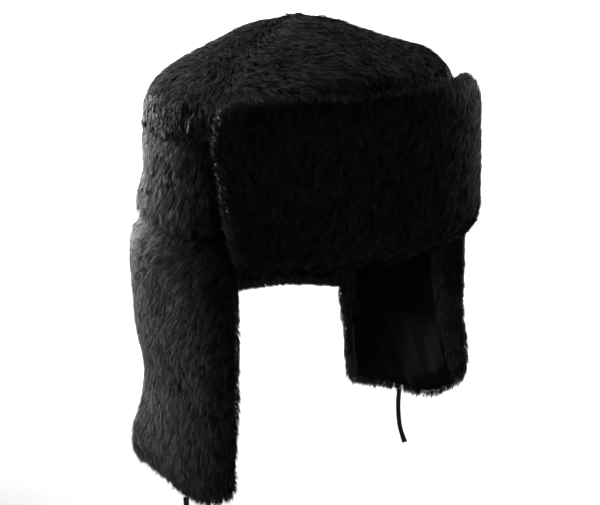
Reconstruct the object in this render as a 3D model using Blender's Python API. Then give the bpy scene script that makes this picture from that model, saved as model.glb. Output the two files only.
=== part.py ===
# Winter hat of black fur: a padded crown, a turned-up visor, a nape flap and two hanging ear flaps.
# Metres, +Z up. The wearer looks along -Y, so the wearer's right is at -X.
# The origin is the middle of the rim, where the hat sits on the head.
import math
import random
from collections import namedtuple

import bmesh
import bpy

# The hollow for the head, and the wall round it
HEAD_WIDTH = 0.184
HEAD_LENGTH = 0.178
PLAN_POWER = 2.3  # 2 gives an oval, more gives a squarer plan
WALL = 0.016
GAP = 0.0003

# Crown
BAND_BOTTOM = 0.020
BAND_HEIGHT = 0.0685
ROOF_RISE = 0.064
ROOF_THICKNESS = 0.014
CROWN_LEAN = 0.006  # how much higher the shoulder is on the wearer's left
PEAK_OPENING = 0.0006
SIDE_SEAM_ANGLE = math.radians(76)

# Turned-up visor
VISOR_THICKNESS = 0.0185
VISOR_ABOVE_BAND = 0.0175
VISOR_FOLD = 0.006  # how far the fold hangs below the rim
VISOR_TOP_ANGLE = math.radians(62.4)
VISOR_BOTTOM_ANGLE = math.radians(57.5)
VISOR_CORNER = 0.012
VISOR_CLEAR = 0.0006

# Hanging flaps
FLAP_THICKNESS = 0.015
FLAP_BULGE = 0.0140
FLAP_BULGE_DROP = 0.022  # how far below the band the bulge is full
FLAP_WAIST = 0.005  # how far the back edge draws in again below the nape
EAR_FLAP_DROP = 0.181  # from the rim to the hem's back corner
FLAP_FLARE = 0.0185
FLAP_FRONT_ANGLE = math.radians(58.2)
FLAP_BACK_ANGLE = math.radians(126.8)
FLARE_START = 0.55  # share of the way down to the hem
WAIST_START = 0.8  # share of the nape's drop
WAIST_END = 1.1
FLAP_FRONT_CORNER = 0.007
FLAP_BACK_CORNER = 0.002
NAPE_DROP = 0.089
NAPE_ARCH = 0.008  # how much higher the hem is at the nape's middle

# Lining of the ear flaps
LINING_THICKNESS = 0.0012
LINING_CLEAR = 0.0005
LINING_MARGIN = 0.013  # fur left bare along each side

# Ties
TIE_DIAMETER = 0.004
TIE_LENGTH = 0.050
RIGHT_TIE_PLACE = 0.40  # share of the flap's width, from its front edge
LEFT_TIE_PLACE = 0.62

# Locks of the fur
LOCK_WIDTH = 0.0064
LOCK_LENGTH = 0.0096
LOCK_DEPTH = 0.0032
LOCK_REACH = 0.0040
LOCK_SWAY = 0.0014
SEAM_SINK = LOCK_DEPTH / 2  # how deep the fur is parted along a seam
ROOF_COLUMN_SHARE = 0.8  # the roof's columns of locks narrow towards the peak, so it has fewer
ROOF_INNER_ROWS = 6
EDGE_ROUND = 0.0045

HALF_WIDTH = HEAD_WIDTH / 2 + WALL
HALF_LENGTH = HEAD_LENGTH / 2 + WALL
BAND_TOP = BAND_BOTTOM + BAND_HEIGHT
FLAP_TOP = BAND_BOTTOM - GAP

# Roof, from the shoulder to the peak, as shares of the plan and of the roof's rise
RoofSection = namedtuple("RoofSection", "reach rise")
ROOF = [
    RoofSection(1.000, 0.00),
    RoofSection(0.990, 0.18),
    RoofSection(0.960, 0.33),
    RoofSection(0.850, 0.475),
    RoofSection(0.720, 0.595),
    RoofSection(0.560, 0.710),
    RoofSection(0.380, 0.835),
    RoofSection(0.200, 0.955),
    RoofSection(0.000, 1.00),
]

# Hem of an ear flap, from its front edge to its back edge, as shares of EAR_FLAP_DROP and of
# FLAP_FLARE, and how many degrees its edge is turned round the head
HemSection = namedtuple("HemSection", "drop flare turn")
RIGHT_HEM = [
    HemSection(0.906, 0.27, -0.3),
    HemSection(0.983, 0.11, 0.0),
    HemSection(0.972, 0.27, 0.0),
    HemSection(1.000, 1.00, 0.0),
]
LEFT_HEM = [
    HemSection(0.751, 0.60, 5.0),
    HemSection(0.917, 0.22, 0.0),
    HemSection(0.961, 0.27, 0.0),
    HemSection(1.000, 0.65, 0.0),
]

# Route of a tie, as shares of its length: down, outward and towards the face
TieSection = namedtuple("TieSection", "down outward forward")
TIE_ROUTE = [
    TieSection(0.000, 0.000, 0.000),
    TieSection(0.246, -0.010, -0.017),
    TieSection(0.493, -0.008, -0.013),
    TieSection(0.742, 0.008, 0.012),
    TieSection(0.990, 0.048, 0.080),
]

# Inner side of a flap, as shares of its height from the band
FLAP_INNER_ROWS = [0.0, 0.10, 0.25, 0.50, 0.75, 0.94, 1.0]
NAPE_INNER_ROWS = [0.0, 0.20, 0.50, 0.88, 1.0]

FUR = ("black_fur", (0.018, 0.018, 0.019), 0.85)
LINING = ("black_lining", (0.010, 0.010, 0.011), 0.55)
TAPE = ("black_tape", (0.012, 0.012, 0.012), 0.60)


def clear_scene():
    for obj in list(bpy.data.objects):
        bpy.data.objects.remove(obj, do_unlink=True)


def new_material(name, colour, roughness):
    material = bpy.data.materials.new(name)
    material.use_nodes = True
    shader = material.node_tree.nodes["Principled BSDF"]
    shader.inputs["Base Color"].default_value = (*colour, 1.0)
    shader.inputs["Roughness"].default_value = roughness
    shader.inputs["Metallic"].default_value = 0.0
    return material


def mix(a, b, share):
    return a + (b - a) * share


def ease(share):
    share = min(max(share, 0.0), 1.0)
    return share * share * (3 - 2 * share)


def read_table(rows, share, column):
    """A smooth curve through one column of a table, at a share of its length."""
    values = [getattr(row, column) for row in rows]
    place = min(max(share, 0.0), 1.0) * (len(values) - 1)
    index = min(int(place), len(values) - 2)
    part = place - index
    here, there = values[index], values[index + 1]
    before = values[index - 1] if index else 2 * here - there
    after = values[index + 2] if index + 2 < len(values) else 2 * there - here
    slope_here, slope_there = (there - before) / 2, (after - here) / 2
    square, cube = part * part, part * part * part
    return (
        (2 * cube - 3 * square + 1) * here
        + (cube - 2 * square + part) * slope_here
        + (3 * square - 2 * cube) * there
        + (cube - square) * slope_there
    )


def plan_distance(angle, out, reach=1.0):
    """From the hat's axis to its plan, in a direction from the front, positive to the wearer's left."""
    across = abs(math.sin(angle)) / (HALF_WIDTH * reach + out)
    ahead = abs(math.cos(angle)) / (HALF_LENGTH * reach + out)
    return (across**PLAN_POWER + ahead**PLAN_POWER) ** (-1 / PLAN_POWER)


def point_at(angle, distance):
    return distance * math.sin(angle), -distance * math.cos(angle)


def plan_point(angle, out):
    return point_at(angle, plan_distance(angle, out))


def band_top(x):
    return BAND_TOP + CROWN_LEAN * x / HALF_WIDTH


def columns_for(width):
    return 2 * max(round(width / LOCK_WIDTH / 2), 2)


def rows_for(height):
    return max(round(height / LOCK_LENGTH), 3)


class Locks:
    """Staggered locks: every second point of the grid is a tip, the others lie at the roots."""

    def __init__(self, columns, rows, seed):
        self.columns = columns
        self.chance = random.Random(seed)
        self.table = [[self.one(column, row) for row in range(rows + 1)] for column in range(columns)]

    def one(self, column, row):
        tip = (column + row) % 2 == 0
        sink = self.chance.uniform(0.0, 0.5) if tip else self.chance.uniform(0.6, 1.1)
        reach = self.chance.uniform(0.4, 1.4) if tip else self.chance.uniform(-0.3, 0.3)
        sway = self.chance.uniform(-1.0, 1.0)
        return sink * LOCK_DEPTH, reach * LOCK_REACH, sway * LOCK_SWAY

    def at(self, column, row):
        return self.table[column % self.columns][row]


def quarter_round(distance, run, drop):
    """How far a rounded edge or corner falls away, at a distance from its end."""
    near = min(max(1 - distance / run, 0.0), 1.0)
    return drop * (1 - math.sqrt(1 - near * near))


def edge_drop(distance):
    """How far a padded face falls away near a free edge."""
    return quarter_round(distance, 2 * EDGE_ROUND, EDGE_ROUND)


def grid_place(vert, columns, around):
    return round((vert.co.x + 0.5) * columns), round((vert.co.y + 0.5) * around)


def split_at_roots(mesh, columns, around, rows):
    """Cuts each cell of the outer face from root to root, so that each tip stands as a lock."""
    for face in list(mesh.faces):
        places = [grid_place(vert, columns, around) for vert in face.verts]
        if max(step for _, step in places) <= rows:
            roots = [vert for vert, place in zip(face.verts, places) if sum(place) % 2]
            bmesh.utils.face_split(face, *roots)


def wrap_panel(name, columns, rows, inner_rows, place, material, closed=False):
    """A grid folded round a wall: down its outer face, round the hem and up its inner face."""
    around = rows + inner_rows + 2
    mesh = bmesh.new()
    bmesh.ops.create_grid(mesh, x_segments=columns, y_segments=around, size=0.5)
    split_at_roots(mesh, columns, around, rows)
    for vert in mesh.verts:
        column, step = grid_place(vert, columns, around)
        step %= around
        if step <= rows:
            vert.co = place(column, step, False)
        else:
            vert.co = place(column, rows + 1 + inner_rows - step, True)
    bmesh.ops.remove_doubles(mesh, verts=mesh.verts, dist=1e-6)
    if not closed:
        ends = [edge for edge in mesh.edges if edge.is_boundary]
        bmesh.ops.holes_fill(mesh, edges=ends, sides=0)
    bmesh.ops.recalc_face_normals(mesh, faces=mesh.faces)
    if mesh.calc_volume(signed=True) < 0:
        bmesh.ops.reverse_faces(mesh, faces=mesh.faces)
    return mesh_object(name, mesh, material)


def mesh_object(name, mesh, material):
    data = bpy.data.meshes.new(name)
    mesh.to_mesh(data)
    mesh.free()
    data.shade_smooth()
    data.set_sharp_from_angle(angle=math.radians(60))
    data.materials.append(material)
    obj = bpy.data.objects.new(name, data)
    collection.objects.link(obj)
    return obj


def make_band(fur):
    """The crown's side wall, plain where the visor covers it."""
    girth = 2 * math.pi * math.sqrt((HALF_WIDTH - WALL / 2) * (HALF_LENGTH - WALL / 2))
    columns, rows, inner_rows = columns_for(girth), rows_for(BAND_HEIGHT), 1
    locks = Locks(columns, rows, 11)
    covered = VISOR_TOP_ANGLE + 2 * LOCK_WIDTH / HALF_WIDTH

    def place(column, row, inner):
        angle = 2 * math.pi * column / columns
        if inner:
            x, y = plan_point(angle, -WALL)
            return x, y, mix(band_top(x), BAND_BOTTOM, row / inner_rows)
        sink, reach, sway = locks.at(column, row)
        if row in (0, rows) or abs(math.remainder(angle, 2 * math.pi)) < covered:
            sink, reach, sway = SEAM_SINK, 0.0, 0.0
        x, y = plan_point(angle + sway / HALF_WIDTH, -sink)
        return x, y, mix(band_top(x), BAND_BOTTOM, row / rows) - reach

    return wrap_panel("crown_band", columns, rows, inner_rows, place, fur, closed=True)


def make_gore(name, first, last, seed, fur):
    """One of the roof's gores, which fan out from the peak."""
    turn = last - first
    columns = columns_for(ROOF_COLUMN_SHARE * HALF_WIDTH * turn)
    rows = rows_for(HALF_WIDTH + ROOF_RISE / 2)
    locks = Locks(columns, rows, seed)

    def place(column, row, inner):
        share = row / (ROOF_INNER_ROWS if inner else rows)
        angle = mix(first, last, column / columns)
        seam = column in (0, columns)
        whole = plan_distance(angle, -WALL if inner else 0.0)
        distance = max(read_table(ROOF, share, "reach") * whole, PEAK_OPENING)
        height = ROOF_RISE - ROOF_THICKNESS if inner else ROOF_RISE
        rise = read_table(ROOF, share, "rise") * height
        if not inner:
            sink, lean, sway = locks.at(column, row)
            if seam or row in (0, rows):
                sink, lean, sway = SEAM_SINK, 0.0, 0.0
            size = min(2 * distance * turn / columns / LOCK_WIDTH, 1.0)
            slope = 1 - read_table(ROOF, share, "rise")
            distance = min(distance + (lean * (1 - slope) - sink * slope) * size, whole)
            rise -= (sink + lean * slope) * size * min(rows * share, 1.0)
            angle += sway * size / max(distance, LOCK_LENGTH)
        if seam:
            angle += math.copysign(math.asin(0.6 * GAP / distance), columns / 2 - column)
        x, y = point_at(angle, distance)
        return x, y, band_top(x) + GAP + rise

    return wrap_panel(name, columns, rows, ROOF_INNER_ROWS, place, fur)


def make_visor(fur):
    """The turned-up visor: its face, its fold under the rim and its back against the band."""
    radius = HALF_WIDTH + VISOR_THICKNESS
    width = 2 * VISOR_TOP_ANGLE * radius
    top = BAND_TOP + VISOR_ABOVE_BAND
    columns, rows = columns_for(width), rows_for(top + VISOR_FOLD)
    locks = Locks(columns, rows, 31)

    def half_angle(z):
        share = min(max((z - BAND_BOTTOM) / (top - BAND_BOTTOM), 0.0), 1.0)
        return mix(VISOR_BOTTOM_ANGLE, VISOR_TOP_ANGLE, share)

    def place(column, row, inner):
        side = 2 * column / columns - 1
        end = column in (0, columns)
        from_end = min(column, columns - column) * width / columns
        high = top - quarter_round(from_end, VISOR_CORNER, VISOR_CORNER)
        low = -VISOR_FOLD + quarter_round(from_end, VISOR_CORNER, VISOR_CORNER / 2)
        if inner:
            out, z = [
                (VISOR_CLEAR + EDGE_ROUND, high - EDGE_ROUND / 3),
                (VISOR_CLEAR, high - 2 * EDGE_ROUND),
                (VISOR_CLEAR, FLAP_TOP),
                (-WALL, FLAP_TOP),
                (-WALL + EDGE_ROUND, low + EDGE_ROUND / 2),
            ][row]
            x, y = plan_point(side * half_angle(z), out)
            return x, y, z
        sink, reach, sway = locks.at(column, row)
        z = mix(high, low, row / rows)
        out = VISOR_THICKNESS - sink - edge_drop(min(from_end, high - z, z - low))
        angle = side * half_angle(z)
        if row == rows:
            z -= max(reach, 0.0)
            out = VISOR_THICKNESS / 2 - sink
        elif not end or row == 0:
            z += reach
        if not end:
            angle += sway / radius
        elif row > 1 and z > BAND_BOTTOM + LOCK_LENGTH:
            angle += math.copysign(reach, side) / radius
        x, y = plan_point(angle, out)
        return x, y, z

    return wrap_panel("front_visor", columns, rows, 4, place, fur)


def bulge(z):
    """How far a hanging flap stands out past the band."""
    return FLAP_BULGE * ease((FLAP_TOP - z) / FLAP_BULGE_DROP)


def inner_out(out, z):
    """The inner face starts in line with the band's and then keeps the flap's thickness."""
    share = ease((FLAP_TOP - z) / (2 * FLAP_BULGE_DROP))
    return mix(-WALL, out - FLAP_THICKNESS, share)


def near_hem(down):
    return ease((down - FLARE_START) / (1 - FLARE_START))


def flap_surface(hem, side, share, down):
    """Angle, outward offset and height of a point of an ear flap's outer face."""
    z = mix(FLAP_TOP, -EAR_FLAP_DROP * read_table(hem, share, "drop"), down)
    waist = FLAP_WAIST * share**2 * ease((-z / NAPE_DROP - WAIST_START) / (WAIST_END - WAIST_START))
    flare = FLAP_FLARE * read_table(hem, share, "flare") * near_hem(down)
    front = FLAP_FRONT_ANGLE + math.radians(read_table(hem, share, "turn")) * ease(down)
    return side * mix(front, FLAP_BACK_ANGLE, share), bulge(z) - waist + flare, z


def flap_width():
    return (FLAP_BACK_ANGLE - FLAP_FRONT_ANGLE) * (HALF_WIDTH + FLAP_BULGE)


def make_ear_flap(name, side, hem, tie_share, seed, fur):
    radius = HALF_WIDTH + FLAP_BULGE
    width = flap_width()
    height = FLAP_TOP + EAR_FLAP_DROP * hem[len(hem) // 2].drop
    columns, rows, inner_rows = columns_for(width), rows_for(height), len(FLAP_INNER_ROWS) - 1
    locks = Locks(columns, rows, seed)

    def place(column, row, inner):
        share = column / columns
        from_front, from_back = share * width, (1 - share) * width
        down = FLAP_INNER_ROWS[row] if inner else row / rows
        at_front, at_back, at_hem = column == 0, column == columns, down == 1.0
        angle, out, z = flap_surface(hem, side, share, down)
        corner = quarter_round(from_front, 2 * FLAP_FRONT_CORNER, FLAP_FRONT_CORNER)
        corner += quarter_round(from_back, 2 * FLAP_BACK_CORNER, FLAP_BACK_CORNER)
        z += corner * near_hem(down)
        edges = [from_front, (1 - down) * height]
        if z < -NAPE_DROP:
            edges.append(from_back)
        rounding = edge_drop(min(edges)) * ease(down * height / LOCK_LENGTH / 2)
        if inner:
            out = inner_out(out, z) + rounding
            z += EDGE_ROUND / 2 if at_hem else 0.0
        else:
            sink, reach, sway = locks.at(column, row)
            if row == 0:
                sink, reach, sway = SEAM_SINK, 0.0, 0.0
            if at_back:
                sink, sway = SEAM_SINK, 0.0
            if at_front:
                sway = -0.8 * reach * ease((-z - 2 * VISOR_FOLD) / LOCK_LENGTH)
            by_tie = at_hem and abs(share - tie_share) * width < 1.2 * LOCK_WIDTH
            if by_tie or (at_front or at_back) and not at_hem:
                reach = 0.0
            out -= sink + rounding
            z -= reach
            angle += side * sway / radius
        if at_back:
            angle -= side * GAP / radius
        x, y = plan_point(angle, out)
        return x, y, z

    return wrap_panel(name, columns, rows, inner_rows, place, fur)


def make_nape_flap(fur):
    radius = HALF_LENGTH + FLAP_BULGE
    turn = 2 * (math.pi - FLAP_BACK_ANGLE - GAP / radius)
    height = FLAP_TOP + NAPE_DROP
    columns, rows, inner_rows = columns_for(turn * radius), rows_for(height), len(NAPE_INNER_ROWS) - 1
    locks = Locks(columns, rows, 71)

    def place(column, row, inner):
        down = NAPE_INNER_ROWS[row] if inner else row / rows
        drop = NAPE_DROP - NAPE_ARCH * math.sin(math.pi * column / columns)
        z = mix(FLAP_TOP, -drop, down)
        angle = math.pi + turn * (column / columns - 0.5)
        rounding = edge_drop((1 - down) * height)
        out = bulge(z)
        if inner:
            out = inner_out(out, z) + rounding
            z += EDGE_ROUND / 2 if row == inner_rows else 0.0
        else:
            sink, reach, sway = locks.at(column, row)
            if row == 0 or column in (0, columns):
                sink, reach, sway = SEAM_SINK, 0.0, 0.0
            out -= sink + rounding
            z -= reach
            angle += sway / radius
        x, y = plan_point(angle, out)
        return x, y, z

    return wrap_panel("nape_flap", columns, rows, inner_rows, place, fur)


def make_lining(name, side, hem, cloth):
    margin = LINING_MARGIN / flap_width()
    columns = columns_for(flap_width() - 2 * LINING_MARGIN)
    shares = FLAP_INNER_ROWS[1:-1]
    rows = len(shares) - 1

    def place(column, row, inner):
        share = mix(margin, 1 - margin, column / columns)
        angle, out, z = flap_surface(hem, side, share, shares[row])
        out = inner_out(out, z) - LINING_CLEAR - (LINING_THICKNESS if inner else 0.0)
        x, y = plan_point(angle, out)
        return x, y, z

    return wrap_panel(name, columns, rows, rows, place, cloth)


def tie_points(side, hem, share):
    """The route of a tie: out of the hem and down, with a slight sway towards its end."""
    angle, out, z = flap_surface(hem, side, share, 1.0)
    x, y = plan_point(angle, out - FLAP_THICKNESS / 2)
    steps = round(TIE_LENGTH / (2 * TIE_DIAMETER)) + 1
    points = []
    for step in range(steps + 1):
        down, outward, forward = (
            TIE_LENGTH * read_table(TIE_ROUTE, step / steps, column) for column in TieSection._fields
        )
        points.append((x + side * outward, y - forward, z - GAP - down))
    return points


def make_tie(name, side, hem, share, tape):
    curve = bpy.data.curves.new(name, "CURVE")
    curve.dimensions = "3D"
    curve.bevel_depth = TIE_DIAMETER / 2
    curve.bevel_resolution = 2
    curve.use_fill_caps = True
    points = tie_points(side, hem, share)
    spline = curve.splines.new("POLY")
    spline.points.add(len(points) - 1)
    for point, place in zip(spline.points, points):
        point.co = (*place, 1.0)
    curve.materials.append(tape)
    obj = bpy.data.objects.new(name, curve)
    collection.objects.link(obj)
    return obj


clear_scene()
collection = bpy.data.collections.new("winter_hat")
bpy.context.scene.collection.children.link(collection)

fur = new_material(*FUR)
lining = new_material(*LINING)
tape = new_material(*TAPE)

make_band(fur)
make_gore("crown_gore_front_left", 0.0, SIDE_SEAM_ANGLE, 21, fur)
make_gore("crown_gore_back_left", SIDE_SEAM_ANGLE, math.pi, 22, fur)
make_gore("crown_gore_back_right", math.pi, 2 * math.pi - SIDE_SEAM_ANGLE, 23, fur)
make_gore("crown_gore_front_right", 2 * math.pi - SIDE_SEAM_ANGLE, 2 * math.pi, 24, fur)
make_visor(fur)
make_ear_flap("ear_flap_right", -1, RIGHT_HEM, RIGHT_TIE_PLACE, 51, fur)
make_ear_flap("ear_flap_left", 1, LEFT_HEM, LEFT_TIE_PLACE, 52, fur)
make_nape_flap(fur)
make_lining("ear_lining_right", -1, RIGHT_HEM, lining)
make_lining("ear_lining_left", 1, LEFT_HEM, lining)
make_tie("tie_right", -1, RIGHT_HEM, RIGHT_TIE_PLACE, tape)
make_tie("tie_left", 1, LEFT_HEM, LEFT_TIE_PLACE, tape)
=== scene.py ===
import math

import bmesh
import bpy
import numpy as np
from mathutils import Matrix, Vector
from mathutils.kdtree import KDTree


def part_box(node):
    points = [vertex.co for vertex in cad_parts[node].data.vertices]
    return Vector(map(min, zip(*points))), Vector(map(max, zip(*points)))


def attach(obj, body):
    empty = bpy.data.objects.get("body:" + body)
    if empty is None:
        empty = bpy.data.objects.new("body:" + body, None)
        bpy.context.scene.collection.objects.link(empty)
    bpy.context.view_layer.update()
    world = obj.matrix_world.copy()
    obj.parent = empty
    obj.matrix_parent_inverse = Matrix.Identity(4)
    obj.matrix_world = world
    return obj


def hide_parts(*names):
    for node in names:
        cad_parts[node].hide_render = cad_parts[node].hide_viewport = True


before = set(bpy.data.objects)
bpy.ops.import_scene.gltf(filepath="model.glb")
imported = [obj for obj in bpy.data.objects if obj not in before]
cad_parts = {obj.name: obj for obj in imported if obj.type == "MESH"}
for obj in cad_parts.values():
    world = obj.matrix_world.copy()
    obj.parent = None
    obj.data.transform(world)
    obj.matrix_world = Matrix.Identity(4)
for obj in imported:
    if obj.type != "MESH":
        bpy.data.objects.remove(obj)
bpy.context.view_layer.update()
scene = bpy.context.scene
print("frame loaded:", len(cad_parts), "nodes")

# the hat's plan, heights and seams, as in the CAD
hat = {"halfWidth": 0.108, "halfLength": 0.105, "planPower": 2.3, "bandTop": 0.0885, "flapTop": 0.0197,
       "napeDrop": 0.089, "sideSeam": math.radians(76), "backSeam": math.radians(126.8)}


def standBack(azimuth, elevation):
    # the direction from the hat to whatever looks or shines at it, azimuth 0 in front
    a, e = math.radians(azimuth), math.radians(elevation)
    return Vector((math.sin(a) * math.cos(e), -math.cos(a) * math.cos(e), math.sin(e)))


def aimCamera():
    view = {"azimuth": -36.1, "elevation": 14.6, "distance": 0.749, "roll": -2.0, "lens": 60.66,
            "shiftX": -0.2 / 600, "shiftY": -28.6 / 600}
    back = standBack(view["azimuth"], view["elevation"])
    data = bpy.data.cameras.new("photoCamera")
    data.sensor_fit, data.sensor_width = "HORIZONTAL", 36.0
    data.lens, data.shift_x, data.shift_y = view["lens"], view["shiftX"], view["shiftY"]
    camera = bpy.data.objects.new("photoCamera", data)
    scene.collection.objects.link(camera)
    camera.matrix_world = (Matrix.Translation(back * view["distance"])
                           @ back.to_track_quat("Z", "Y").to_matrix().to_4x4()
                           @ Matrix.Rotation(math.radians(view["roll"]), 4, "Z"))
    scene.camera = camera


aimCamera()
print("camera set")


def srgb(hexColour):
    # an sRGB hex value as linear red, green, blue and alpha
    parts = [int(hexColour[i:i + 2], 16) / 255 for i in (1, 3, 5)]
    return tuple(c / 12.92 if c <= 0.04045 else ((c + 0.055) / 1.055) ** 2.4 for c in parts) + (1.0,)


def setInputs(tree, node, inputs):
    # an input goes by its name or number, and takes a value or a socket to link from
    for name, value in inputs.items():
        if isinstance(value, bpy.types.NodeSocket):
            tree.links.new(value, node.inputs[name])
        else:
            node.inputs[name].default_value = value


def addNode(tree, kind, inputs, **settings):
    node = tree.nodes.new(kind)
    for name, value in settings.items():
        setattr(node, name, value)
    setInputs(tree, node, inputs)
    return node


def startMaterial(name):
    material = bpy.data.materials.new(name)
    material.use_nodes = True
    return material, material.node_tree, material.node_tree.nodes["Principled BSDF"]


# a Mix node's colours are its inputs 6 and 7, and its output 2


def modacrylicPile():
    # modacrylic pile fabric, brushed and sheared: dull fibres, a little greyer at the tip; the darkening towards the
    # black root is painted shade of the pile over its roots
    material, tree, shader = startMaterial("modacrylicPile")
    strand = addNode(tree, "ShaderNodeUVMap", {}, uv_map="pile")
    parts = addNode(tree, "ShaderNodeSeparateXYZ", {0: strand.outputs["UV"]})
    along = addNode(tree, "ShaderNodeMapRange", {"Value": parts.outputs["Y"], "From Min": 0.1, "From Max": 0.9})
    # the tip's grey follows each strand's shade, which carries the pieces' painted light and shade
    tip = addNode(tree, "ShaderNodeMix", {0: parts.outputs["X"], 6: srgb("#040404"), 7: srgb("#29292a")},
                  data_type="RGBA")
    colour = addNode(tree, "ShaderNodeMix", {0: along.outputs["Result"], 6: srgb("#030303"), 7: tip.outputs[2]},
                     data_type="RGBA")
    rough = addNode(tree, "ShaderNodeMapRange", {"Value": parts.outputs["X"], "To Min": 0.74, "To Max": 0.64})
    setInputs(tree, shader, {"Base Color": colour.outputs[2], "Roughness": rough.outputs["Result"], "IOR": 1.5,
                             "Specular IOR Level": 0.012})
    return material


def pileBacking():
    # the knitted ground under the pile, which only shows as dark gaps between locks: loops about 1 mm wide
    material, tree, shader = startMaterial("pileBacking")
    place = addNode(tree, "ShaderNodeTexCoord", {})
    grain = addNode(tree, "ShaderNodeTexNoise", {"Vector": place.outputs["Object"], "Scale": 900.0, "Detail": 3.0})
    colour = addNode(tree, "ShaderNodeMix", {0: grain.outputs["Fac"], 6: srgb("#020202"), 7: srgb("#070707")},
                     data_type="RGBA")
    bump = addNode(tree, "ShaderNodeBump", {"Height": grain.outputs["Fac"], "Strength": 0.6, "Distance": 0.0006})
    setInputs(tree, shader, {"Base Color": colour.outputs[2], "Roughness": 0.95, "Normal": bump.outputs["Normal"],
                             "Specular IOR Level": 0.08})
    return material


def polyesterTwill():
    # black polyester twill, the lining: fine diagonal ribs about 1 mm apart, and a faint soft shine; its black is
    # darker than the cloth's own, which is painted shade inside the flap
    material, tree, shader = startMaterial("polyesterTwill")
    place = addNode(tree, "ShaderNodeTexCoord", {})
    ribs = addNode(tree, "ShaderNodeTexWave", {"Vector": place.outputs["Object"], "Scale": 260.0, "Distortion": 0.6,
                                               "Detail": 1.0}, bands_direction="DIAGONAL")
    cloud = addNode(tree, "ShaderNodeTexNoise", {"Vector": place.outputs["Object"], "Scale": 45.0, "Detail": 4.0})
    colour = addNode(tree, "ShaderNodeMix", {0: cloud.outputs["Fac"], 6: srgb("#010101"), 7: srgb("#030304")},
                     data_type="RGBA")
    bump = addNode(tree, "ShaderNodeBump", {"Height": ribs.outputs["Fac"], "Strength": 0.35, "Distance": 0.0002})
    setInputs(tree, shader, {"Base Color": colour.outputs[2], "Roughness": 0.9, "Normal": bump.outputs["Normal"],
                             "Specular IOR Level": 0.01})
    return material


def cottonTape():
    # woven cotton tape, the ties: matt, ribbed across every 0.9 mm, a little uneven in its black
    material, tree, shader = startMaterial("cottonTape")
    weave = addNode(tree, "ShaderNodeUVMap", {}, uv_map="tape")
    parts = addNode(tree, "ShaderNodeSeparateXYZ", {0: weave.outputs["UV"]})
    ribs = addNode(tree, "ShaderNodeMath", {0: parts.outputs["Y"], 1: 2 * math.pi / 0.0009}, operation="MULTIPLY")
    wave = addNode(tree, "ShaderNodeMath", {0: ribs.outputs[0]}, operation="SINE")
    place = addNode(tree, "ShaderNodeTexCoord", {})
    fibre = addNode(tree, "ShaderNodeTexNoise", {"Vector": place.outputs["Object"], "Scale": 1400.0, "Detail": 3.0})
    colour = addNode(tree, "ShaderNodeMix", {0: fibre.outputs["Fac"], 6: srgb("#030303"), 7: srgb("#0c0c0c")},
                     data_type="RGBA")
    bump = addNode(tree, "ShaderNodeBump", {"Height": wave.outputs[0], "Strength": 0.5, "Distance": 0.0002})
    setInputs(tree, shader, {"Base Color": colour.outputs[2], "Roughness": 0.85, "Normal": bump.outputs["Normal"],
                             "Specular IOR Level": 0.12})
    return material


pile, backing, twill, tape = modacrylicPile(), pileBacking(), polyesterTwill(), cottonTape()
print("materials made")


def tieLevels(route, steps):
    # points at even shares of a smooth curve through the route
    points = [Vector(p) for p in route]
    points = [2 * points[0] - points[1], *points, 2 * points[-1] - points[-2]]
    found = []
    for step in range(steps + 1):
        place = step / steps * (len(route) - 1)
        i = min(int(place), len(route) - 2)
        t = place - i
        a, b, c, d = points[i:i + 4]
        found.append(0.5 * ((2 * b) + (c - a) * t + (2 * a - 5 * b + 4 * c - d) * t**2
                            + (3 * b - a - 3 * c + d) * t**3))
    return found


def makeTie(name, node, route, across):
    look = {"width": 0.0040, "thickness": 0.0007, "length": 0.050, "steps": 48, "flare": 0.18, "twist": 0.08}
    levels = tieLevels(route, look["steps"])
    mesh = bmesh.new()
    bmesh.ops.create_cube(mesh, size=1.0)
    uprights = [e for e in mesh.edges if abs(e.verts[0].co.z - e.verts[1].co.z) > 0.5]
    bmesh.ops.subdivide_edges(mesh, edges=uprights, cuts=look["steps"] - 1, use_grid_fill=True)
    rims = [e for e in mesh.edges if abs(e.verts[0].co.z - e.verts[1].co.z) > 1e-4
            and abs(e.verts[0].co.x - e.verts[1].co.x) < 1e-4]
    bmesh.ops.bevel(mesh, geom=rims, offset=0.3, offset_type="PERCENT", segments=1, profile=0.5,
                    affect="EDGES", material=-1)
    weave = mesh.loops.layers.uv.new("tape")
    for face in mesh.faces:
        for loop in face.loops:
            loop[weave].uv = (loop.vert.co.x + 0.5, (0.5 - loop.vert.co.z) * look["length"])
    for vert in mesh.verts:
        share = min(max(0.5 - vert.co.z, 0.0), 1.0)
        i = round(share * look["steps"])
        ahead = (levels[min(i + 1, look["steps"])] - levels[max(i - 1, 0)]).normalized()
        turn = Matrix.Rotation(look["twist"] * math.sin(2.2 * share), 3, ahead)
        side = turn @ (Vector(across) - Vector(across).dot(ahead) * ahead).normalized()
        out = ahead.cross(side)
        width = look["width"] * (1 + look["flare"] * max(share - 0.82, 0) / 0.18)
        vert.co = levels[i] + side * vert.co.x * width + out * vert.co.y * look["thickness"]
    bmesh.ops.recalc_face_normals(mesh, faces=mesh.faces)
    data = bpy.data.meshes.new(name)
    mesh.to_mesh(data)
    mesh.free()
    data.materials.append(tape)
    data.shade_smooth()
    piece = bpy.data.objects.new(name, data)
    scene.collection.objects.link(piece)
    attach(piece, "root")
    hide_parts(node)


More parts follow.
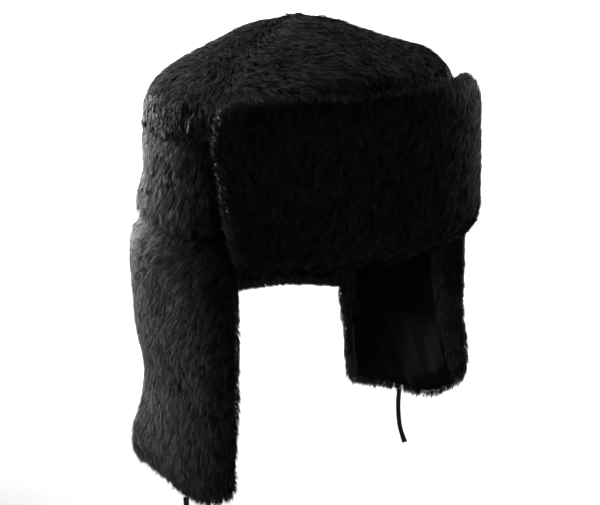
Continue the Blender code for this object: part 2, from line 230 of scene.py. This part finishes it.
rightTieRoute = [(-0.11564, -0.00879, -0.17873), (-0.11531, -0.00823, -0.18576), (-0.11511, -0.00791, -0.19279),
                 (-0.11514, -0.00798, -0.19984), (-0.11538, -0.00836, -0.20693), (-0.11585, -0.00909, -0.21405),
                 (-0.11681, -0.0107, -0.22115), (-0.11804, -0.01279, -0.22823)]
leftTieRoute = [(0.11591, 0.02193, -0.17336), (0.11558, 0.02249, -0.18038), (0.11538, 0.02282, -0.18742),
                (0.11541, 0.02275, -0.19447), (0.11565, 0.02237, -0.20156), (0.11612, 0.02163, -0.20868),
                (0.11708, 0.02003, -0.21578), (0.11831, 0.01793, -0.22286)]
makeTie("tapeTieRight", "tie_right", rightTieRoute, (0.81, -0.59, 0.0))
makeTie("tapeTieLeft", "tie_left", leftTieRoute, (0.81, -0.59, 0.0))
print("ties hung")


# fur: each piece is its solid's own skin, softened, with strands of pile standing in locks on it


def unit(vectors):
    return vectors / np.maximum(np.linalg.norm(vectors, axis=-1, keepdims=True), 1e-12)


def around(points):
    # the way round the head from the front, positive to the wearer's left
    return np.arctan2(points[:, 0], -points[:, 1])


def outward(points):
    angle = around(points)
    return np.stack([np.sin(angle), -np.cos(angle), 0 * angle], 1)


def sideways(points):
    # a level direction round the head, towards the wearer's left at the front
    angle = around(points)
    return np.stack([np.cos(angle), np.sin(angle), 0 * angle], 1)


def planRadius(points):
    angle = around(points)
    across = (np.abs(np.sin(angle)) / hat["halfWidth"]) ** hat["planPower"]
    ahead = (np.abs(np.cos(angle)) / hat["halfLength"]) ** hat["planPower"]
    return (across + ahead) ** (-1 / hat["planPower"])


def planOffset(points):
    # how far a point stands outside the hat's plan
    return np.hypot(points[:, 0], points[:, 1]) - planRadius(points)


down = np.array([0.0, 0.0, -1.0])


def along(vectors, ways):
    return (vectors * ways).sum(-1)


def ease(x):
    x = np.clip(x, 0, 1)
    return x * x * (3 - 2 * x)


def drift(points, size, seed):
    # smooth unevenness between about -1 and 1, which changes over the given size
    chance = np.random.default_rng(seed)
    total = 0
    for _ in range(5):
        way = unit(chance.normal(size=3)) * 2 * math.pi / (size * chance.uniform(0.7, 1.6))
        total = total + np.sin(points @ way + chance.uniform(0, 2 * math.pi))
    return total / 2.5


def makeStrandShape():
    # one strand of pile: a slim diamond of two triangles, root to tip, that bends across its middle
    mesh = bmesh.new()
    bmesh.ops.create_circle(mesh, segments=4, radius=1.0, cap_ends=True)
    bmesh.ops.connect_vert_pair(mesh, verts=[v for v in mesh.verts if abs(v.co.y) < 0.5])
    mesh.normal_update()
    if sum(f.normal.z for f in mesh.faces) < 0:
        bmesh.ops.reverse_faces(mesh, faces=mesh.faces)
    mesh.verts.index_update()
    points = np.array([v.co for v in mesh.verts])
    faces = np.array([[v.index for v in f.verts] for f in mesh.faces])
    mesh.free()
    return points[:, 0], np.round(points[:, 1] + 1).astype(int), faces


def peltOf(node, swell, held):
    # a copy of the solid, merged, halved and softened, then moved out by swell(points) where it isn't held
    mesh = bmesh.new()
    mesh.from_mesh(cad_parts[node].data)
    bmesh.ops.remove_doubles(mesh, verts=mesh.verts, dist=1e-5)
    bmesh.ops.subdivide_edges(mesh, edges=mesh.edges, cuts=1, use_grid_fill=True)
    bmesh.ops.triangulate(mesh, faces=mesh.faces)
    places = np.array([v.co for v in mesh.verts])
    normals = np.array([v.normal for v in mesh.verts])
    loose = [v for v, hold in zip(mesh.verts, held(places, normals)) if not hold]
    for _ in range(12):
        bmesh.ops.smooth_vert(mesh, verts=loose, factor=0.5, use_axis_x=True, use_axis_y=True, use_axis_z=True)
    mesh.normal_update()
    places = np.array([v.co for v in loose])
    for v, move in zip(loose, swell(places)):
        v.co += v.normal * float(move)
    mesh.normal_update()
    mesh.verts.index_update()
    points = np.array([v.co for v in mesh.verts])
    normals = np.array([v.normal for v in mesh.verts])
    faces = np.array([[v.index for v in f.verts] for f in mesh.faces])
    mesh.free()
    return points, normals, faces


def triangleCross(points, faces):
    corners = points[faces]
    return np.cross(corners[:, 1] - corners[:, 0], corners[:, 2] - corners[:, 0])


def scatterRoots(points, normals, faces, count, chance):
    areas = np.linalg.norm(triangleCross(points, faces), axis=1)
    picked = chance.choice(len(faces), count, p=areas / areas.sum())
    u, v = chance.random(count), chance.random(count)
    over = u + v > 1
    u[over], v[over] = 1 - u[over], 1 - v[over]
    weights = np.stack([1 - u - v, u, v], 1)[:, :, None]
    return (points[faces[picked]] * weights).sum(1), unit((normals[faces[picked]] * weights).sum(1))


def bendStrands(roots, ups, ways, length, rise, settle, droop):
    # root, middle and tip: up at the rise angle, then on at the settle angle, drooping by that share
    ways = unit(ways - along(ways, ups)[:, None] * ups)
    first = ways * np.cos(rise)[:, None] + ups * np.sin(rise)[:, None]
    last = ways * np.cos(settle)[:, None] + ups * np.sin(settle)[:, None]
    last = unit(last + droop[:, None] * (down - 0.35 * outward(roots)))
    middle = roots + first * length[:, None] * 0.45
    return np.stack([roots, middle, middle + last * length[:, None] * 0.55], 1)


def growStrands(points, normals, faces, look, comb):
    # strands in locks: each follows its own way, and is drawn towards the middle of its lock
    chance = np.random.default_rng(look["seed"])
    area = np.linalg.norm(triangleCross(points, faces), axis=1).sum() / 2
    count = int(area * 1e6 * look["perSquareMm"])
    lockRoots, lockNormals = scatterRoots(points, normals, faces, count // look["perLock"], chance)
    roots, ups = scatterRoots(points, normals, faces, count, chance)
    tree = KDTree(len(lockRoots))
    for i, place in enumerate(lockRoots):
        tree.insert(place, i)
    tree.balance()
    lock = np.array([tree.find(place)[1] for place in roots])

    ways, lift, reach, droop = comb(lockRoots, lockNormals)
    ways = unit(ways) + look["stray"] * chance.normal(size=ways.shape)
    length = look["length"] * reach * chance.uniform(0.85, 1.15, len(lockRoots))
    rise = np.radians((look["rise"] + lift) * chance.uniform(0.75, 1.25, len(lockRoots)))
    settle = np.radians(look["settle"] + 0.7 * lift)
    shade = 0.5 + look["mottle"] * chance.normal(size=len(lockRoots))
    for size, share in patchSizes:
        shade += look["patch"] * share * drift(lockRoots, size, look["seed"] + round(size * 1000))
    # each piece's painted light and shade multiplies the locks' shade here
    shade = np.clip(shade * look.get("tone", lambda points: 1)(lockRoots), 0, 1)
    lockPath = bendStrands(lockRoots, lockNormals, ways, length, rise, settle, droop)

    path = bendStrands(roots - ups * 0.0004, ups, ways[lock] + 0.6 * look["stray"] * chance.normal(size=(count, 3)),
                       length[lock] * chance.uniform(0.75, 1.15, count), rise[lock] * chance.uniform(0.8, 1.2, count),
                       settle[lock] + chance.normal(0, 0.14, count), droop[lock])
    gather = np.clip(chance.normal(look["gather"], 0.15, count), 0, 0.95)[:, None]
    path[:, 1] += 0.35 * gather * (lockPath[lock, 1] - path[:, 1])
    path[:, 2] += gather * (lockPath[lock, 2] - path[:, 2])

    ahead = unit(np.stack([path[:, 1] - path[:, 0], path[:, 2] - path[:, 0], path[:, 2] - path[:, 1]], 1))
    side = unit(np.cross(ahead[:, 1], ups))
    roll = chance.normal(0, look["roll"], count)[:, None]
    side = (side * np.cos(roll) + np.cross(ahead[:, 1], side) * np.sin(roll))[:, None, :]
    width = look["width"] * chance.uniform(0.6, 1.4, count)

    across, level, shapeFaces = strandShape
    strands = path[:, level] + side * (0.5 * width[:, None] * across)[:, :, None]
    size = len(across)
    strandFaces = (shapeFaces[None] + size * np.arange(count)[:, None, None]).reshape(-1, 3)
    # a dense pile shades as one soft surface, so each strand's own normal leans towards the skin's
    soft = look["soft"]
    shading = unit(np.cross(side, ahead)[:, level] * (1 - soft) + ups[:, None, :] * soft)
    shade = np.clip(shade[lock] + 0.12 * chance.normal(size=count), 0, 1)
    uv = np.stack([np.repeat(shade, size), np.tile(level / 2.0, count)], 1)
    return strands.reshape(-1, 3), strandFaces, uv, shading.reshape(-1, 3)


def joinMesh(name, parts, materials):
    # one mesh from parts: points, triangles, uv and normal of each point, and material of each triangle
    starts = np.cumsum([0] + [len(part[0]) for part in parts])
    points, uv, normals, slots = (np.concatenate([part[i] for part in parts]) for i in (0, 2, 3, 4))
    faces = np.concatenate([part[1] + start for part, start in zip(parts, starts)])
    data = bpy.data.meshes.new(name)
    data.vertices.add(len(points))
    data.vertices.foreach_set("co", points.astype(np.float32).ravel())
    data.loops.add(faces.size)
    data.polygons.add(len(faces))
    data.polygons.foreach_set("loop_start", np.arange(0, faces.size, 3, dtype=np.int32))
    data.loops.foreach_set("vertex_index", faces.astype(np.int32).ravel())
    data.polygons.foreach_set("material_index", slots.astype(np.int32))
    data.uv_layers.new(name="pile").data.foreach_set("uv", uv[faces.ravel()].astype(np.float32).ravel())
    data.update(calc_edges=True)
    data.shade_smooth()
    own = data.attributes.new("custom_normal", "FLOAT_VECTOR", "POINT")
    own.data.foreach_set("vector", normals.astype(np.float32).ravel())
    for material in materials:
        data.materials.append(material)
    piece = bpy.data.objects.new(name, data)
    scene.collection.objects.link(piece)
    return piece


def furPiece(name, node, look, comb, swell, furred, cloth, held):
    points, normals, faces = peltOf(node, swell, held)
    centres, facing = points[faces].mean(1), unit(triangleCross(points, faces))
    strands = growStrands(points, normals, faces[furred(centres, facing)], look, comb)
    skin = (points, faces, np.tile([0.2, 0.0], (len(points), 1)), normals, np.where(cloth(centres, facing), 2, 1))
    piece = joinMesh(name, [skin, (*strands, np.zeros(len(strands[1]), int))], [pile, backing, twill])
    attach(piece, "root")
    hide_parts(node)
    print(name, "has", len(faces), "+", len(strands[1]), "triangles")


strandShape = makeStrandShape()

# darker and lighter patches of the pile: size in metres and share of the whole
patchSizes = ((0.050, 0.5), (0.023, 0.4), (0.009, 0.3))
# what all the fur shares; angles in degrees, lengths in metres
plush = {"perSquareMm": 2.2, "perLock": 6, "length": 0.0095, "rise": 38, "settle": 12, "width": 0.00040,
         "gather": 0.12, "stray": 0.24, "roll": 0.7, "soft": 0.66, "mottle": 0.36, "patch": 0.18, "fill": 0.5}

visorFur = {**plush, "seed": 31, "fill": 0.6, "halfAngle": math.radians(61), "rim": 0.013}
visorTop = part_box("front_visor")[1].z


def visorPaintedLightAndShade(points):
    # painted highlight along the top of its rim, and painted shade over the rest of its face and most at the ends,
    # which are pressed into the wall's pile
    top = ease((points[:, 2] - visorTop) / 0.010 + 1)
    return (0.5 + 1.1 * top) * (1 - ease((np.abs(around(points)) - visorFur["halfAngle"]) / 0.1 + 1))


visorFur["tone"] = visorPaintedLightAndShade

# crown band: the side wall, combed straight down
bandFur = {**plush, "seed": 11, "underVisor": math.radians(56)}
# painted shade beside the visor's ends
bandFur["tone"] = lambda points: 0.25 + 0.75 * ease((np.abs(around(points)) - 1.05) / 0.4)


def combBand(points, normals):
    # near the visor's corner the pile comes over the shoulder and swings back; low down it stands out over the flaps
    angle, height = around(points), points[:, 2]
    corner = ease(1 - (np.abs(angle) - bandFur["underVisor"]) / 0.55) * ease((height - 0.045) / 0.05)
    foot = ease((0.055 - height) / 0.035) * ease((np.abs(angle) - bandFur["underVisor"]) / 0.5)
    sway = 0.8 * np.sign(angle) * corner + 0.16 * drift(points, 0.030, 3) + 0.14 * drift(points, 0.009, 4)
    return down + sideways(points) * sway[:, None], 12 * foot, 1 + 0.4 * foot, 0.1 + 0 * foot


def swellBand(places):
    # out over the tops of the flaps at the bottom
    return -0.0012 + 0.0055 * ease((0.058 - places[:, 2]) / 0.036)


def bandFurred(centres, facing):
    return (along(facing, outward(centres)) > 0.35) & (np.abs(around(centres)) > bandFur["underVisor"])


furPiece("crownBandFur", "crown_band", bandFur, combBand, swellBand, bandFurred,
         lambda centres, facing: along(facing, outward(centres)) < -0.5,
         lambda places, normals: along(normals, outward(places)) < 0.72)

# roof gores: combed down from the peak, and the front right one round the crown
gores = {"crown_gore_front_right": {"name": "frontRightGoreFur", "seed": 24, "round": 0.95, "downhill": 0.45,
                                    "full": 0.0},
         "crown_gore_front_left": {"name": "frontLeftGoreFur", "seed": 21, "round": -0.55, "downhill": 0.8,
                                   "full": -0.0018, "corner": 0.0034},
         "crown_gore_back_right": {"name": "backRightGoreFur", "seed": 23, "round": -0.15, "downhill": 1.0,
                                   "full": 0.0014},
         "crown_gore_back_left": {"name": "backLeftGoreFur", "seed": 22, "round": 0.15, "downhill": 1.0,
                                  "full": -0.0004, "corner": 0.0034}}
goreSeams = [-math.pi, -hat["sideSeam"], 0, hat["sideSeam"], math.pi]


def makeGore(node):
    own = {**plush, "soft": 0.58, "patch": 0.3, **gores[node]}

    def comb(points, normals):
        reach = np.hypot(points[:, 0], points[:, 1])
        rim = ease((reach / planRadius(points) - 0.80) / 0.18)
        spread = ease(reach / 0.05)
        slope = outward(points) * 0.9 + down * (0.6 + 1.2 * rim)[:, None]
        # away from the seams the pile turns round the crown, and right by one it lies across it
        gaps = np.array([seam - around(points) for seam in goreSeams])
        gap = gaps[np.abs(gaps).argmin(0), np.arange(len(points))]
        turn = own["round"] * spread * (1 - 0.6 * rim) * ease(np.abs(gap) / 0.45)
        turn += 0.8 * np.sign(gap) * ease(1 - np.abs(gap) * reach / 0.006) + 0.2 * drift(points, 0.035, own["seed"])
        return (slope * own["downhill"] + sideways(points) * turn[:, None],
                -28 * (1 - ease(reach / 0.035)) - 10 * rim, 1 - 0.4 * (1 - ease(reach / 0.03)) - 0.2 * rim,
                0.1 + 0.7 * rim)

    def swell(places):
        # the slope is full between the peak and the rim, and the rim is drawn in over the band
        share = np.hypot(places[:, 0], places[:, 1]) / planRadius(places)
        overBand = ease((np.abs(around(places)) - visorFur["halfAngle"]) / 0.2)
        slope = ease(share / 0.4) * ease((1 - share) / 0.3)
        nearVisor = ease((share - 0.6) / 0.25) * ease(1.9 - 2.5 * np.abs(around(places) - 1.22))
        slope = own["full"] * slope + own.get("corner", 0) * nearVisor
        return -0.0008 + slope - 0.0006 * ease((share - 0.86) / 0.14) * overBand

    furPiece(own["name"], node, own, comb, swell,
             lambda centres, facing: along(facing, 0.6 * outward(centres) - down) > 0.45,
             lambda centres, facing: facing[:, 2] < -0.3,
             lambda places, normals: along(normals, unit(outward(places) - down)) < 0.25)


for node in gores:
    makeGore(node)

# turned-up visor: combed up its face, with a rim of pile that stands out past its top edge and ends


def combVisor(points, normals):
    angle, height = around(points), points[:, 2]
    top = ease((height - visorTop) / visorFur["rim"] + 1)
    end = ease((np.abs(angle) - visorFur["halfAngle"]) / 0.16 + 1)
    low = ease((0.006 - height) / 0.012)
    ways = (-down * (1 - 0.9 * end - 1.4 * low)[:, None] + 0.25 * outward(points) * low[:, None]
            + sideways(points) * (1.2 * end * np.sign(angle) + 0.14 * drift(points, 0.03, 5))[:, None])
    edge = np.maximum(top, 0.4 * end)
    return ways, 26 * edge, 1 + 0.1 * edge - 0.45 * end, 0 * edge


def swellVisor(places):
    # its lower left corner is worn flat
    corner = ease((around(places) - 0.75) / 0.3) * ease((0.030 - places[:, 2]) / 0.025)
    return -0.0006 - 0.003 * corner


def visorFurred(centres, facing):
    offset, low = planOffset(centres), centres[:, 2] < hat["bandTop"]
    hidden = (along(facing, outward(centres)) < -0.3) & (centres[:, 2] < hat["bandTop"] + 0.001)
    hidden |= np.abs(along(facing, sideways(centres))) > 0.85
    return ~hidden & ~((offset < 0.002) & low)


furPiece("frontVisorFur", "front_visor", visorFur, combVisor, swellVisor, visorFurred,
         lambda centres, facing: planOffset(centres) < 0.002,
         lambda places, normals: (planOffset(places) < 0.0015) & (places[:, 2] > 0.01))

# hanging flaps
flapFur = {**plush, "sweep": 0.55}


def flapPaintedShade(points):
    # painted shade: a little over the whole flap, more in the fold under the band except at the back, and all along
    # the front edge
    angle = np.abs(around(points))
    fold = ease((points[:, 2] - hat["flapTop"] + 0.030) / 0.022) * ease((2.0 - angle) / 0.4)
    return (0.88 - 0.65 * fold) * ease((angle - 1.01) / 0.06)


flapFur["tone"] = flapPaintedShade


def flapHeld(places, normals):
    slit = (np.abs(np.abs(around(places)) - hat["backSeam"]) < 0.02) & (places[:, 2] > 0.004 - hat["napeDrop"])
    return (places[:, 2] > hat["flapTop"] - 0.002) | slit


def swellFlap(places):
    # tucked in under the band at the top, and on the wearer's right slimmer below the bulge
    tuck = 0.0006 * ease((places[:, 2] - hat["flapTop"] + 0.020) / 0.020)
    slim = 0.0014 * ease((-0.060 - places[:, 2]) / 0.030) * (places[:, 0] < 0)
    full = 0.0022 * ease((places[:, 2] + 0.125) / 0.050) * (places[:, 0] > 0)
    flare = 0.0025 * ease((-0.130 - places[:, 2]) / 0.03) * ease((-around(places) - 1.9) / 0.3)
    # and its front edge is worn in
    worn = 0.0024 * ease((around(places) + 1.15) / 0.1) * ease((-0.095 - places[:, 2]) / 0.03) * (places[:, 0] < 0)
    return -0.0005 - tuck - slim - worn + full + flare


def innerFace(centres, facing):
    return along(facing, outward(centres)) < -0.35


def topEdge(centres, facing):
    return (facing[:, 2] > 0.6) & (centres[:, 2] > hat["flapTop"] - 0.004)


def makeEarFlap(name, node, side, seed):
    look = {**flapFur, "seed": seed}
    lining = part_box("ear_lining_right" if side < 0 else "ear_lining_left")
    front, back = math.radians(58.2), hat["backSeam"]

    def comb(points, normals):
        # swept back over the bulge and straight down below it
        height = points[:, 2]
        sweep = look["sweep"] * ease((height + 0.095) / 0.06) + 0.14 * drift(points, 0.03, seed)
        sweep += 0.10 * drift(points, 0.009, seed + 1)
        same = np.ones(len(points))
        return down + sideways(points) * (side * sweep)[:, None], 0 * same, same, 0.1 * same

    def underLining(centres):
        share = (np.abs(around(centres)) - front) / (back - front)
        return (share > 0.13) & (share < 0.87) & (centres[:, 2] > lining[0].z + 0.004) & (centres[:, 2] < lining[1].z)

    def furred(centres, facing):
        slit = (np.abs(np.abs(around(centres)) - back) < 0.02) & (centres[:, 2] > -hat["napeDrop"])
        slit &= np.abs(along(facing, sideways(centres))) > 0.6
        bare = innerFace(centres, facing) & (underLining(centres) | (centres[:, 2] > -0.012))
        return ~topEdge(centres, facing) & ~slit & ~bare

    furPiece(name, node, look, comb, swellFlap, furred,
             lambda centres, facing: along(facing, outward(centres)) < -0.5, flapHeld)


makeEarFlap("earFlapRightFur", "ear_flap_right", -1, 51)
makeEarFlap("earFlapLeftFur", "ear_flap_left", 1, 52)

napeFur = {**flapFur, "seed": 71}


def combNape(points, normals):
    sway = 0.16 * drift(points, 0.03, 71) + 0.14 * drift(points, 0.009, 72)
    hem = ease((-0.072 - points[:, 2]) / 0.012)
    return down + sideways(points) * sway[:, None], 0 * sway, 1 - 0.35 * hem, 0.1 + 0 * sway


def napeFurred(centres, facing):
    slit = np.abs(along(facing, sideways(centres))) > 0.6
    return ~topEdge(centres, facing) & ~slit & ~(innerFace(centres, facing) & (centres[:, 2] > -0.070))


furPiece("napeFlapFur", "nape_flap", napeFur, combNape, swellFlap, napeFurred,
         lambda centres, facing: along(facing, outward(centres)) < -0.5, flapHeld)


def makeLining(name, node, seed):
    # the cloth on a flap's inner face, drawn a little uneven by its seam
    look = {"puckers": 0.0007, "cuts": 2}
    mesh = bmesh.new()
    mesh.from_mesh(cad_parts[node].data)
    bmesh.ops.remove_doubles(mesh, verts=mesh.verts, dist=1e-5)
    bmesh.ops.subdivide_edges(mesh, edges=mesh.edges, cuts=look["cuts"], use_grid_fill=True)
    places = np.array([v.co for v in mesh.verts])
    lift = look["puckers"] * (drift(places * np.array([1, 1, 0.35]), 0.016, seed) + 1.0)
    for vert, amount, way in zip(mesh.verts, lift, -outward(places)):
        vert.co += Vector(way) * float(amount)
    mesh.normal_update()
    data = bpy.data.meshes.new(name)
    mesh.to_mesh(data)
    mesh.free()
    data.materials.append(twill)
    data.shade_smooth()
    piece = bpy.data.objects.new(name, data)
    scene.collection.objects.link(piece)
    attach(piece, "root")
    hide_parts(node)


makeLining("earLiningRight", "ear_lining_right", 81)
makeLining("earLiningLeft", "ear_lining_left", 82)
print("lining set in")


def makeFloor():
    # a pale round floor that curves up into a wall
    look = {"drop": 0.55, "colour": "#f4f4f4"}
    material, tree, shader = startMaterial("paleFloorPaint")
    setInputs(tree, shader, {"Base Color": srgb(look["colour"]), "Roughness": 0.9, "Specular IOR Level": 0.1})
    mesh = bmesh.new()
    bmesh.ops.create_circle(mesh, segments=96, radius=0.05, cap_ends=True)
    rim = [e for e in mesh.edges if e.is_boundary]
    for reach, height in [(1.2, 0.0), (1.8, 0.02), (2.2, 0.12), (2.6, 0.4), (2.9, 1.0), (3.0, 2.4)]:
        made = bmesh.ops.extrude_edge_only(mesh, edges=rim)["geom"]
        rim = [g for g in made if isinstance(g, bmesh.types.BMEdge)]
        for vert in [g for g in made if isinstance(g, bmesh.types.BMVert)]:
            flat = Vector((vert.co.x, vert.co.y, 0)).normalized() * reach
            vert.co = Vector((flat.x, flat.y, height))
    bmesh.ops.translate(mesh, vec=(0, 0, -look["drop"]), verts=mesh.verts)
    bmesh.ops.recalc_face_normals(mesh, faces=mesh.faces)
    data = bpy.data.meshes.new("studioFloor")
    mesh.to_mesh(data)
    mesh.free()
    data.materials.append(material)
    data.shade_smooth()
    floor = bpy.data.objects.new("studioFloor", data)
    scene.collection.objects.link(floor)


def addLight(name, azimuth, elevation, distance, size, power, spread, aim=(0, 0, 0)):
    # a soft box aimed at the hat, or at another point
    data = bpy.data.lights.new(name, "AREA")
    data.shape, data.size, data.energy, data.spread = "SQUARE", size, power, math.radians(spread)
    light = bpy.data.objects.new(name, data)
    place = standBack(azimuth, elevation) * distance
    turn = (place - Vector(aim)).to_track_quat("Z", "Y").to_matrix().to_4x4()
    light.matrix_world = Matrix.Translation(place) @ turn
    scene.collection.objects.link(light)


def lightStudio():
    world = bpy.data.worlds.new("studioAir")
    world.use_nodes = True
    sky = world.node_tree.nodes["Background"]
    sky.inputs["Color"].default_value = srgb("#ffffff")
    sky.inputs["Strength"].default_value = 0.045
    scene.world = world
    scene.view_settings.view_transform = "Standard"
    addLight("leftBox", -169, 8, 1.3, 0.5, 18, 40, (-0.05, 0, 0.06))
    addLight("topBox", -158, 50, 1.4, 0.7, 9.5, 45)
    addLight("lowBox", -138, -10, 1.3, 0.12, 0.42, 12, (-0.11, 0.01, -0.085))
    addLight("rightBox", 92, 8, 1.5, 0.6, 9, 45)
    # one for the wall behind the hat
    addLight("wallBox", 144, 69, 1.9, 1.0, 62, 110, standBack(144, -5) * 2.6)


makeFloor()
lightStudio()
print("floor and lights set")
